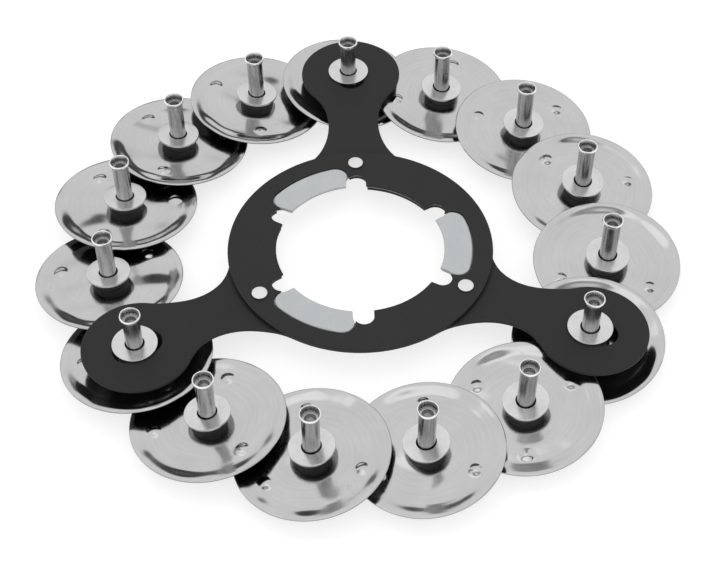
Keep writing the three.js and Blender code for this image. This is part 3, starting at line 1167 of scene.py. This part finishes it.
@dataclass
class Rivets:
    """The upright tubular rivets."""

    plan: Plan
    # The shank, the lower head and the flared rim with its lip.
    radius: float = 1.95
    head_radius: float = 4.0
    rim_radius: float = 2.4
    rim_height: float = 1.1
    rim_edge: float = 0.5
    rim_draft: float = 0.05
    lip: float = 0.3
    # The tube's wall, its wide mouth, the ledge in it and the narrow bore below.
    wall: float = 0.2
    mouth_depth: float = 1.8
    step: float = 0.47
    bore_depth: float = 1.45
    # The rim's painted highlight, a bright zone on its top: its depth, and its width in lip widths.
    highlight_depth: float = 0.4
    highlight_lip: float = 1.2
    # The faint wave round the rim: long waves, and short ones at a share of their height.
    rim_wave: float = 0.03
    wave_counts: tuple[int, int] = (3, 7)
    short_share: float = 0.5
    first_seed: int = 100
    segments: int = 56

    def section(self) -> np.ndarray:
        """The rivet's half section from the axis at its foot to the axis in its bore.

        Returns:
            Radius and height of each point.
        """
        top = self.plan.rivet_top
        flare = top - self.rim_height
        ledge = top - self.mouth_depth
        floor = ledge - self.bore_depth
        mouth = self.radius - self.wall
        bore = mouth - self.step
        # Radius, height and rounding of each corner.
        corners = [
            (0.0, 0.0, 0.0),
            (self.head_radius, 0.0, 0.25),
            (self.head_radius, self.plan.head_height, 0.3),
            (self.radius, self.plan.head_height, 0.1),
            (self.radius, flare, 0.3),
            (self.rim_radius, top - self.rim_edge, 0.16),
            (self.rim_radius - self.rim_draft, top, 0.16),
            (self.rim_radius - self.lip, top, 0.06),
            (mouth, flare, 0.2),
            (mouth, ledge, 0.06),
            (bore, ledge, 0.1),
            (bore, floor, 0.15),
            (0.0, floor, 0.0),
        ]
        return rounded(corners, steps=4, closed=False)

    def surface(self, index: int) -> Surface:
        """One rivet: its section spun, with a faint wave round the rolled rim.

        Args:
            index: Number of the rivet, from 0.

        Returns:
            The surface, with the rim's top as its second zone, which takes a painted highlight.
        """
        section = self.section()
        top = self.plan.rivet_top
        angle = even_angles(self.segments)[None, :]
        phase = np.random.default_rng(self.first_seed + index).uniform(0.0, TURN, 2)
        near_rim = np.clip((section[:, 1:] - top + self.rim_height) / self.rim_height, 0.0, 1.0)
        long, short = (np.sin(count * angle + start) for count, start in zip(self.wave_counts, phase))
        wave = self.rim_wave * near_rim * (long + self.short_share * short)
        tube = spun(section, self.segments, self.plan.station(index), wave)
        away = np.hypot(tube.local[:, 0], tube.local[:, 1])
        # Painted highlight: the top of the rolled rim takes the bright second colour.
        high = tube.local[:, 2] > top - self.highlight_depth
        bright = high & (away > self.rim_radius - self.highlight_lip * self.lip)
        return Surface(tube.points, tube.faces, tube.local, bright)

    def build(self, material: Material) -> None:
        """Makes every rivet and dresses it.

        Args:
            material: Finish of the rivets.
        """
        for index in range(self.plan.jingle_count):
            node = f"rivet_{index + 1:02d}"
            piece(f"{node}_tube", self.surface(index), material, "ring", "rivet_steel", node)


@dataclass
class Washers:
    """The plain washers, leaning with their jingles or flat on the ears."""

    plan: Plan
    radius: float = 5.15
    hole_radius: float = 2.22
    edge: float = 0.09
    segments: int = 72

    def surface(self, index: int) -> Surface:
        """One washer: a rounded rectangular section spun round its hole, centred on its rivet.

        Args:
            index: Number of the washer, from 0.

        Returns:
            The surface.
        """
        plan = self.plan
        on_ear = index % (plan.jingle_count // plan.arm_count) == 0
        base = plan.ear_top + plan.layer_gap if on_ear else plan.washer_base
        top = base + plan.washer_thickness
        section = ring_section((self.hole_radius, self.radius), (base, top), self.edge, steps=5)
        place = plan.station(index)
        if not on_ear:
            leaning = plan.leaning(index, 0.0)
            to_rivet = np.array([0.0, 0.5 * (base + top) * math.tan(plan.tilt), 0.0])
            place = Place(leaning.turn, leaning.carry(to_rivet))
        return spun(section, self.segments, place)

    def build(self, material: Material) -> None:
        """Makes every washer and dresses it.

        Args:
            material: Finish of the washers.
        """
        for index in range(self.plan.jingle_count):
            node = f"washer_{index + 1:02d}"
            piece(f"{node}_flat", self.surface(index), material, node, "washer_steel", node)


@dataclass
class Opening:
    """The opening that plate, grip and cover share."""

    plan: Plan
    lobe_depth: float = 6.8
    lobe_half_angle: float = math.radians(25.0)
    lobe_corner: float = 3.0
    notch_radius: float = 2.3
    notch_centre_depth: float = 1.6
    notches_per_arm: int = 2

    @property
    def lobe_turn(self) -> float:
        """Angle from an arm to the lobe that follows it."""
        return math.pi / (2 * self.plan.arm_count)

    def from_nearest(self, angle: np.ndarray, start: float, count: int) -> np.ndarray:
        """Angle to the nearest of a number of even places, as an amount without sign."""
        step = TURN / count
        return np.abs((angle - start + step / 2) % step - step / 2)

    def notch_edge(self, angle: np.ndarray, growth: float) -> np.ndarray:
        """Radius of the notches' edge: the far side of a round end, then its straight side.

        Args:
            angle: Angles about the opening's middle.
            growth: How far the edge is moved outwards.

        Returns:
            The radius at each angle.
        """
        plan = self.plan
        size = self.notch_radius + growth
        centre = plan.opening_radius + self.notch_centre_depth
        off = self.from_nearest(angle, plan.first_angle, self.notches_per_arm * plan.arm_count)
        across = centre * np.sin(off)
        far = centre * np.cos(off) + np.sqrt(np.maximum(size**2 - across**2, 0.0))
        straight = size / np.maximum(np.sin(off), LEAST_SINE)
        return np.where(off < math.atan2(size, centre), far, straight)

    def lobe_edge(self, angle: np.ndarray, growth: float) -> np.ndarray:
        """Radius of the lobes' outer edge: a circle about the ring with a round at each corner.

        Args:
            angle: Angles about the opening's middle.
            growth: How far the edge is moved outwards.

        Returns:
            The radius at each angle, 0 where there is no lobe.
        """
        plan = self.plan
        outer = plan.opening_radius + self.lobe_depth + growth
        corner = self.lobe_corner
        half = self.lobe_half_angle + growth / outer
        turn = math.asin(corner / (outer - corner))
        off = self.from_nearest(angle, plan.first_angle + self.lobe_turn, plan.arm_count)
        past = np.clip(off - (half - turn), 0.0, turn)
        across = (outer - corner) * np.sin(past)
        bent = (outer - corner) * np.cos(past) + np.sqrt(np.maximum(corner**2 - across**2, 0.0))
        return np.where(off < half, bent, 0.0)

    def edge(self, angle: np.ndarray, growth: float) -> np.ndarray:
        """Radius of the whole opening: the furthest of the round middle, the lobes and the notches."""
        middle = np.full_like(angle, self.plan.opening_radius + growth)
        return np.maximum(middle, np.maximum(self.lobe_edge(angle, growth), self.notch_edge(angle, growth)))


@dataclass
class Centre:
    """The three-armed plate with the grip, the cover and the small rivets that clamp them."""

    plan: Plan
    opening: Opening
    # The plate's hub, the bends of its arms, its ears and their slots.
    hub_setback: float = 0.5
    bend_start: float = 31.8
    bend_end: float = 46.3
    bend_softness: float = 1.5
    ear_radius: float = 12.7
    neck_width: float = 12.6
    slot_half_width: float = 3.35
    slot_travel: float = 5.0
    # How far plate and grip stand back from the cover's opening, and the grip with its pads.
    edge_gap: float = 0.3
    grip_setback: float = 2.3
    grip_edge: float = 0.05
    pad_setback: float = 0.05
    pad_gap: float = 0.2
    pad_side_gap: float = 0.28
    pad_least: float = 0.1
    pad_edge: float = 0.3
    pad_columns: int = 160
    # The small rivets, whose inset is counted from the cover's edge.
    rivet_inset: float = 3.9
    rivet_radius: float = 1.2
    rivet_head_radius: float = 1.85
    rivet_head_height: float = 0.4
    rivet_gap: float = 0.3
    rivet_segments: int = 48
    # Sizes of the rounded edges.
    plate_edge: float = 0.16
    hole_edge: float = 0.02
    cover_edge: float = 0.16
    # How finely outlines and faces are divided. A rivet's hole has one point for every
    # seat_step of the opening's.
    columns: int = 1440
    hole_columns: int = 480
    seat_step: int = 20
    fillet_steps: int = 28
    ear_steps: int = 64
    slot_steps: int = 20
    fill_spacing: float = 1.6

    def arm_edge(self) -> np.ndarray:
        """One arm's edge along +X: a fillet from the hub, the round ear and the far fillet.

        The fillet circle touches the hub's circle and the ear's circle and comes within half the
        neck's width of the arm's line. Its radius is the smaller root of the equation that these
        three conditions give.

        Returns:
            The points, counter-clockwise.
        """
        reach, ear, neck = self.plan.pitch_radius, self.ear_radius, self.neck_width / 2
        hub = self.plan.cover_radius - self.hub_setback
        lean = (hub - ear) / reach
        middle = (reach**2 + hub**2 - ear**2) / (2 * reach)
        linear = 2 * (middle * lean - hub + neck)
        constant = middle**2 - hub**2 + neck**2
        fillet = (-linear - math.sqrt(linear**2 - 4 * lean**2 * constant)) / (2 * lean**2)
        x, y = middle + lean * fillet, -(neck + fillet)
        to_hub = math.atan2(-y, -x)
        to_ear = math.atan2(-y, reach - x)
        start = math.atan2(y, x - reach)
        near = arc((x, y), fillet, to_hub, to_ear, self.fillet_steps)
        far = (near * np.array([1.0, -1.0]))[::-1]
        ear_round = arc((reach, 0.0), ear, start, -start, self.ear_steps)[1:-1]
        return np.concatenate([near, ear_round, far])

    def slot_edge(self) -> np.ndarray:
        """The slot of the ear along +X, clockwise: two half circles joined by straight sides.

        Returns:
            The points.
        """
        reach, travel, half = self.plan.pitch_radius, self.slot_travel / 2, self.slot_half_width
        right = math.pi / 2
        outer_end = arc((reach + travel, 0.0), half, -right, right, self.slot_steps)
        inner_end = arc((reach - travel, 0.0), half, right, 3 * right, self.slot_steps)
        return np.concatenate([outer_end, inner_end])[::-1]

    def plate_outlines(self) -> list[np.ndarray]:
        """The plate's outline counter-clockwise, then its opening and holes clockwise.

        Returns:
            The outline, the opening, and each arm's slot and rivet hole.
        """
        plan = self.plan
        hub = plan.cover_radius - self.hub_setback
        edge = self.arm_edge()
        first = math.atan2(edge[0, 1], edge[0, 0])
        between = arc((0.0, 0.0), hub, -first, TURN / plan.arm_count + first, self.fillet_steps)[1:-1]
        part = np.concatenate([edge, between])
        turns = [turn_about_z(plan.arm_angle(arm))[:2, :2] for arm in range(plan.arm_count)]
        around = even_angles(self.hole_columns, clockwise=True)
        hole = polar(self.opening.edge(around, self.edge_gap), around)
        outline = np.concatenate([part @ turn.T for turn in turns])
        seat = polar(self.rivet_radius + self.rivet_gap, around[::self.seat_step])
        seat = seat + np.array([plan.cover_radius - self.rivet_inset, 0.0])
        return [outline, hole] + [loop @ turn.T for turn in turns for loop in (self.slot_edge(), seat)]

    def rise(self, spots: np.ndarray) -> np.ndarray:
        """Height of the plate above its hub.

        The distance along the nearest arm, counted from one bend and no further than the other,
        times the arm's slope. Each bend is softened: half of the distance plus the root of its
        square and the softness squared.

        Args:
            spots: Points of the plane.

        Returns:
            The height at each point.
        """
        plan = self.plan
        arms = plan.arm_angle(np.arange(plan.arm_count))
        along = (spots @ polar(1.0, arms).T).max(axis=1)
        past = along[:, None] - np.array([self.bend_start, self.bend_end])
        soft = 0.5 * (past + np.sqrt(past**2 + self.bend_softness**2))
        return plan.plate_dish / (self.bend_end - self.bend_start) * (soft[:, 0] - soft[:, 1])

    def build_plate(self, material: Material) -> None:
        """Makes the plate.

        Args:
            material: Its finish.
        """
        plan = self.plan
        edges = [self.plate_edge, self.hole_edge] + [self.plate_edge, self.hole_edge] * plan.arm_count
        heights = (plan.hub_bottom, plan.hub_bottom + plan.plate_thickness)
        made = sheet(self.plate_outlines(), edges, heights, plan.centre_place, self.rise, self.fill_spacing)
        piece("centre_plate_arms", made, material, "plate", "plate_coat", "centre_plate")

    def build_cover(self, material: Material) -> None:
        """Makes the cover ring.

        Args:
            material: Its finish.
        """
        plan = self.plan
        angle = even_angles(self.columns)
        inner = self.opening.edge(angle, 0.0)
        outer = np.full_like(angle, plan.cover_radius)
        heights = (plan.cover_bottom, plan.cover_top)
        made = band(angle, inner, outer, heights, self.cover_edge, plan.centre_place, whole=True)
        piece("cover_ring_band", made, material, "plate", "cover_coat", "cover_ring")

    def build_grip(self, material: Material) -> None:
        """Makes the grip's thin ring and its raised pads.

        Args:
            material: Their finish.
        """
        plan, opening = self.plan, self.opening
        angle = even_angles(self.columns // 2)
        middle = np.full_like(angle, plan.opening_radius + self.edge_gap)
        inner = np.maximum(middle, opening.notch_edge(angle, self.edge_gap))
        outer = np.full_like(angle, plan.cover_radius - self.grip_setback)
        grip_top = plan.grip_bottom + plan.grip_thickness
        heights = (plan.grip_bottom, grip_top)
        made = band(angle, inner, outer, heights, self.grip_edge, plan.centre_place, whole=True)
        piece("grip_ring_band", made, material, "plate", "grip", "grip_ring")
        half = opening.lobe_half_angle - self.pad_side_gap / plan.opening_radius
        tall = (grip_top, plan.cover_top - self.pad_setback)
        for arm in range(plan.arm_count):
            line = plan.arm_angle(arm) + opening.lobe_turn
            spread = np.linspace(line - half, line + half, self.pad_columns)
            near = np.maximum(plan.opening_radius, opening.notch_edge(spread, self.edge_gap))
            far = np.maximum(opening.lobe_edge(spread, -self.pad_gap), near + self.pad_least)
            pad = band(spread, near, far, tall, self.pad_edge, plan.centre_place, whole=False)
            piece(f"grip_pad_{arm + 1}", pad, material, "plate", "grip", "grip_ring")

    def build_rivets(self, material: Material) -> None:
        """Makes the small flat-headed rivets through cover, grip and plate.

        Args:
            material: Their finish.
        """
        plan = self.plan
        head = plan.cover_top + plan.layer_gap
        tail = plan.hub_bottom - plan.layer_gap
        wide, tall = self.rivet_head_radius, self.rivet_head_height
        # Radius, height and rounding of each corner.
        corners = [
            (0.0, tail - tall, 0.0),
            (wide, tail - tall, 0.2),
            (wide, tail, 0.1),
            (self.rivet_radius, tail, 0.05),
            (self.rivet_radius, head, 0.05),
            (wide, head, 0.1),
            (wide, head + tall, 0.18),
            (0.0, head + tall, 0.0),
        ]
        section = rounded(corners, steps=5, closed=False)
        for arm in range(plan.arm_count):
            spot = polar(plan.cover_radius - self.rivet_inset, plan.arm_angle(arm))
            place = Place(np.eye(3), plan.centre_place.shift + np.array([spot[0], spot[1], 0.0]))
            node = f"cover_rivet_{arm + 1}"
            made = spun(section, self.rivet_segments, place)
            piece(f"{node}_heads", made, material, "plate", "cover_rivet_steel", node)


@dataclass
class Carrier:
    """The flat ring under the jingles."""

    plan: Plan
    width: float = 15.0
    hole_radius: float = 2.25
    edge: float = 0.2
    hole_edge: float = 0.1
    columns: int = 240
    hole_columns: int = 32
    fill_spacing: float = 3.0

    def build(self, material: Material) -> None:
        """Makes the carrier ring with a hole for each rivet.

        Args:
            material: Its finish.
        """
        plan = self.plan
        around = even_angles(self.columns)
        back = even_angles(self.hole_columns, clockwise=True)
        outer = polar(plan.pitch_radius + self.width / 2, around)
        inner = polar(plan.pitch_radius - self.width / 2, around)[::-1]
        stations = [plan.station(index).shift[:2] for index in range(plan.jingle_count)]
        holes = [spot + polar(self.hole_radius, back) for spot in stations]
        edges = [self.edge, self.edge] + [self.hole_edge] * len(holes)
        heights = (plan.carrier_bottom, plan.carrier_bottom + plan.carrier_thickness)
        flat = Place(np.eye(3), np.zeros(3))
        made = sheet([outer, inner] + holes, edges, heights, flat, level_rise, self.fill_spacing)
        piece("carrier_ring_band", made, material, "ring", "carrier_coat", "carrier_ring")


@dataclass
class Studio:
    """Floor, surrounding light, lamp and camera, in millimetres and radians.

    Attributes:
        azimuth: Angle of the camera round the ring, from the front.
        elevation: Angle of the camera above the floor.
        roll: Turn of the camera about its own line of sight.
        distance: Distance of the camera from its target.
        target: The point that the camera looks at.
        focal_pixels: Focal length in pixels of the image.
        sensor: Width of the camera's sensor.
        near_clip: Distance from which the camera sees.
        floor_half: Half the floor's width.
        floor_drop: How far the floor lies below the rivet heads.
        floor_shade: Grey of the floor.
        floor_glow: Grey that the camera, metal and glass see in addition.
        floor_roughness: Roughness of the floor.
        sky: Angles in degrees, from the floor in front over the top to the floor at the back, and
            the level of the light there.
        lamps: Name, place, width and power in watts of each lamp.
    """

    azimuth: float = math.radians(-2.0)
    elevation: float = math.radians(49.25)
    roll: float = math.radians(-0.524)
    distance: float = 363.0
    target: Triple = (-0.44, -12.0, 8.17)
    focal_pixels: float = 1563.9
    sensor: float = 36.0
    near_clip: float = 10.0
    floor_half: float = 2000.0
    floor_drop: float = 0.3
    floor_shade: float = 0.42
    floor_glow: float = 0.74
    floor_roughness: float = 0.9
    sky: tuple[Pair, ...] = (
        (0.0, 1.0), (18.0, 1.0), (26.0, 0.8), (58.0, 0.8), (66.0, 1.05), (80.0, 1.05),
        (83.0, 0.05), (90.0, 0.05), (93.0, 1.0), (151.0, 1.0), (153.0, 0.06), (166.5, 0.06),
        (169.0, 1.0), (180.0, 1.0),
    )
    lamps: tuple[tuple[str, Triple, float, float], ...] = (
        ("lamp_top", (-120.0, -160.0, 900.0), 800.0, 0.65),
    )

    def build_camera(self) -> None:
        """Sets the camera at the photo's angle, with its roll and focal length."""
        a, e = self.azimuth, self.elevation
        back = np.array([math.sin(a) * math.cos(e), -math.cos(a) * math.cos(e), math.sin(e)])
        right = np.array([math.cos(a), math.sin(a), 0.0])
        up = np.cross(back, right)
        rolled = math.cos(self.roll) * right + math.sin(self.roll) * up
        view = np.eye(4)
        view[:3, 0] = rolled
        view[:3, 1] = np.cross(back, rolled)
        view[:3, 2] = back
        view[:3, 3] = (np.asarray(self.target) + back * self.distance) * MM
        data = bpy.data.cameras.new("photo_camera")
        data.sensor_fit = "HORIZONTAL"
        data.sensor_width = self.sensor
        data.lens = self.focal_pixels / IMAGE_WIDTH * self.sensor
        data.clip_start = self.near_clip * MM
        camera = bpy.data.objects.new("photo_camera", data)
        camera.matrix_world = Matrix(view.tolist())
        bpy.context.scene.collection.objects.link(camera)
        bpy.context.scene.camera = camera

    def floor_paint(self) -> Material:
        """Makes the floor's paint, which glows to the camera, to mirrors and through glass.

        Returns:
            The material.
        """
        paint = bpy.data.materials.new("floor_paint")
        paint.use_nodes = True
        tree = paint.node_tree
        shader = tree.nodes["Principled BSDF"]
        shader.inputs["Base Color"].default_value = (*grey(self.floor_shade), 1.0)
        shader.inputs["Roughness"].default_value = self.floor_roughness
        shader.inputs["Specular IOR Level"].default_value = 0.0
        shader.inputs["Emission Color"].default_value = (*grey(self.floor_glow), 1.0)
        path = tree.nodes.new("ShaderNodeLightPath")
        glossy, through = path.outputs["Is Glossy Ray"], path.outputs["Is Transmission Ray"]
        mirrored = add_math(tree, "MAXIMUM", glossy, through)
        seen = add_math(tree, "MAXIMUM", path.outputs["Is Camera Ray"], mirrored)
        tree.links.new(seen, shader.inputs["Emission Strength"])
        return paint

    def build_floor(self) -> None:
        """Makes the pale floor, bright to the camera and still taking a shadow."""
        half, level = self.floor_half * MM, -self.floor_drop * MM
        mesh = bpy.data.meshes.new("floor")
        corners = [(-half, -half, level), (half, -half, level), (half, half, level), (-half, half, level)]
        mesh.from_pydata(corners, [], [[0, 1, 2, 3]])
        mesh.materials.append(self.floor_paint())
        floor = bpy.data.objects.new("floor", mesh)
        bpy.context.scene.collection.objects.link(floor)

    def build_world(self) -> None:
        """Makes the surroundings: even light with a dark strip overhead and another low at the back.

        The level follows the angle in the plane across the ring, from the floor in front (0)
        through straight up (90) to the floor at the back (180).
        """
        world = bpy.data.worlds.new("studio")
        bpy.context.scene.world = world
        world.use_nodes = True
        tree = world.node_tree
        where = tree.nodes.new("ShaderNodeTexCoord")
        split = add_node(tree, "ShaderNodeSeparateXYZ", {}, {"Vector": where.outputs["Generated"]})
        ahead = add_math(tree, "MULTIPLY", split.outputs["Y"], -1.0)
        angle = add_math(tree, "ARCTAN2", split.outputs["Z"], ahead)
        share = add_math(tree, "DIVIDE", angle, math.pi)
        levels = add_node(tree, "ShaderNodeValToRGB", {}, {"Fac": share})
        ramp = levels.color_ramp
        ramp.elements.remove(ramp.elements[1])
        brightest = max(level for degrees, level in self.sky)
        for number, (degrees, level) in enumerate(self.sky):
            position = degrees / HALF_TURN_DEGREES
            stop = ramp.elements.new(position) if number else ramp.elements[0]
            stop.position = position
            stop.color = (*grey(level / brightest), 1.0)
        background = tree.nodes["Background"]
        background.inputs["Strength"].default_value = brightest
        tree.links.new(levels.outputs["Color"], background.inputs["Color"])

    def build_lamps(self) -> None:
        """Makes the soft lamps, each turned to the ring's middle."""
        for name, spot, size, power in self.lamps:
            data = bpy.data.lights.new(name, "AREA")
            data.size = size * MM
            data.energy = power
            lamp = bpy.data.objects.new(name, data)
            lamp.location = Vector(spot) * MM
            lamp.rotation_euler = (-lamp.location).to_track_quat("-Z", "Y").to_euler()
            bpy.context.scene.collection.objects.link(lamp)

    def build(self) -> None:
        """Makes the whole studio."""
        bpy.context.scene.view_settings.view_transform = "Standard"
        self.build_camera()
        self.build_floor()
        self.build_world()
        self.build_lamps()


def main() -> None:
    """Builds the ring's pieces in order, then the studio."""
    logging.basicConfig(level=logging.INFO, format="%(message)s")
    marks = Marks().build()
    coat = BLACK_COAT.material(marks)
    plan = Plan()
    Carrier(plan).build(coat)
    Rivets(plan).build(DRAWN_STEEL.material(marks))
    Jingles(plan).build(POLISHED_STEEL.material(marks), DARK_BUSHING.material(marks))
    Washers(plan).build(SATIN_STEEL.material(marks))
    centre = Centre(plan, Opening(plan))
    centre.build_plate(coat)
    centre.build_grip(PALE_GRIP.material(marks))
    centre.build_cover(BLACK_COVER.material(marks))
    centre.build_rivets(BRIGHT_STEEL.material(marks))
    Studio().build()


if __name__ == "__main__":
    main()
